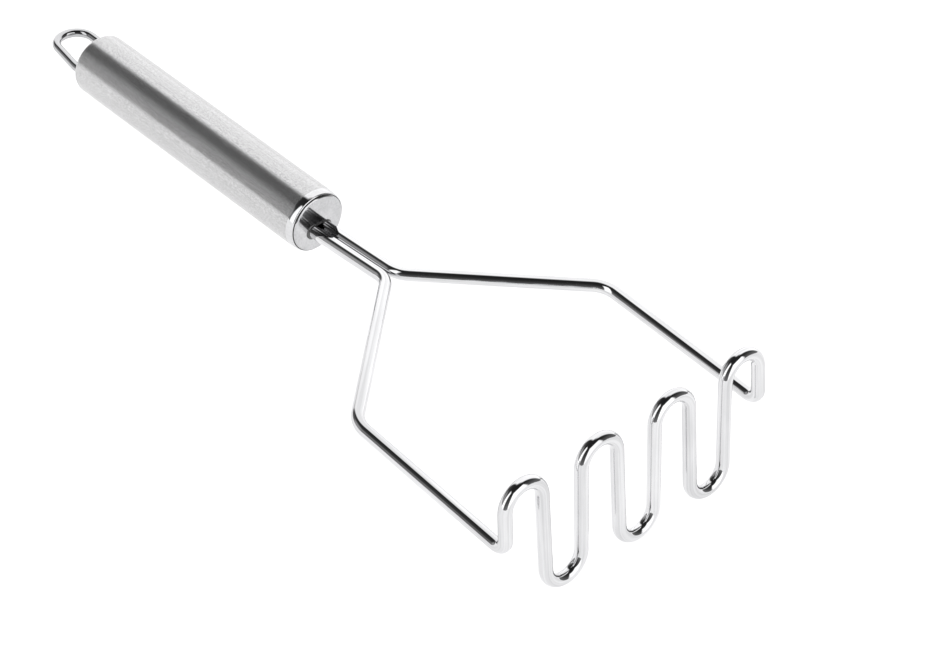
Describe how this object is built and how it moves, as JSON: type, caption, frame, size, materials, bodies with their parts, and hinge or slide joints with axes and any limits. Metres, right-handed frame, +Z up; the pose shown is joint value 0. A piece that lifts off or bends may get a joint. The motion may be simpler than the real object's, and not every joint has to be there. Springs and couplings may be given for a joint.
{
  "type": "potato masher",
  "caption": "Hand masher: one bent polished wire with a zig-zag mashing face, a Y frame and two shanks held in a hollow brushed handle with a hanging loop.",
  "frame": {"origin": "middle of the bottom of the bounding box, on the surface that the tool lies on", "axes": "+X along the tool towards the mashing face, +Y across the tool, +Z up from the surface it lies on"},
  "size_m": [0.2666, 0.0992, 0.0417],
  "materials": {
    "polished_wire": "mirror polished",
    "brushed_tube": "brushed along the handle",
    "polished_cap": "polished",
    "weld_metal": "as welded"
  },
  "bodies": {
    "root": {"masher_wire": "polished_wire", "handle_tube": "brushed_tube", "front_cap": "polished_cap", "rear_cap": "brushed_tube", "hang_loop": "polished_wire", "shank_weld": "weld_metal", "loop_weld": "weld_metal"}
  },
  "joints": []
}
